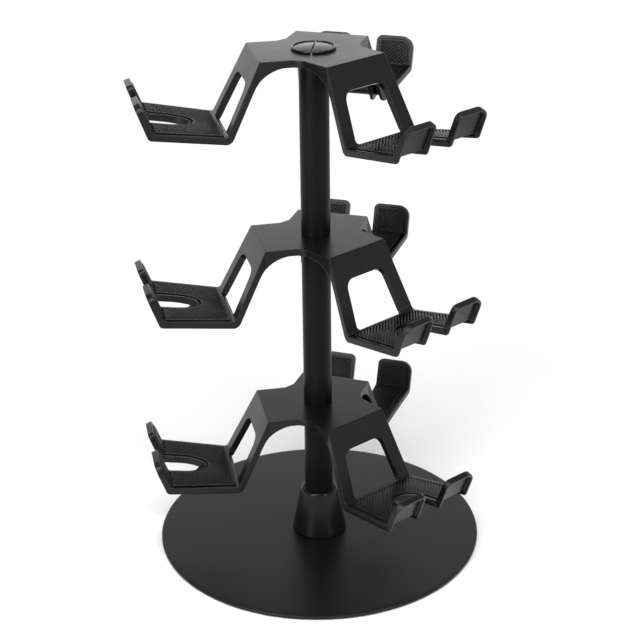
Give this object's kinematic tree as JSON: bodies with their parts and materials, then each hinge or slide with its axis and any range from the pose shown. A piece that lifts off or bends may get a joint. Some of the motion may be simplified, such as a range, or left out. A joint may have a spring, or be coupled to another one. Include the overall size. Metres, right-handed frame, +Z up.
{
  "type": "game controller stand",
  "caption": "Tiered stand for game controllers: round steel base, tube post and moulded holders with cranked, padded arms.",
  "frame": {"origin": "centre of the foam sheet underside, on the post's axis, where the stand meets the table", "axes": "+Z up along the post, -X along the left arms, the other arms at 60 degrees either side of +X"},
  "size_m": [0.2264, 0.232, 0.3469],
  "materials": {
    "plate_paint": "matte black powder coat",
    "tube_paint": "satin black paint",
    "cap_paint": "satin black paint",
    "cone_plastic": "smooth satin black",
    "holder_plastic": "fine textured matte black",
    "pad_rubber": "matte ribbed black rubber",
    "foam": "matte black foam",
    "bare_steel": "zinc plated"
  },
  "bodies": {
    "root": {"foam_sheet": "foam", "base_plate": "plate_paint", "base_stud": "bare_steel", "foot_cone": "cone_plastic", "tube_lower": "tube_paint", "tube_middle": "tube_paint", "tube_upper": "tube_paint", "plug_lower_foot": "bare_steel", "plug_lower_head": "bare_steel", "plug_middle_foot": "bare_steel", "plug_middle_head": "bare_steel", "plug_upper_foot": "bare_steel", "plug_upper_head": "bare_steel", "stud_lower": "bare_steel", "stud_middle": "bare_steel", "holder_lower": "holder_plastic", "holder_middle": "holder_plastic", "holder_upper": "holder_plastic", "pad_lower_left": "pad_rubber", "pad_lower_front": "pad_rubber", "pad_lower_back": "pad_rubber", "pad_middle_left": "pad_rubber", "pad_middle_front": "pad_rubber", "pad_middle_back": "pad_rubber", "pad_upper_left": "pad_rubber", "pad_upper_front": "pad_rubber", "pad_upper_back": "pad_rubber", "cap_screw": "cap_paint"}
  },
  "joints": []
}
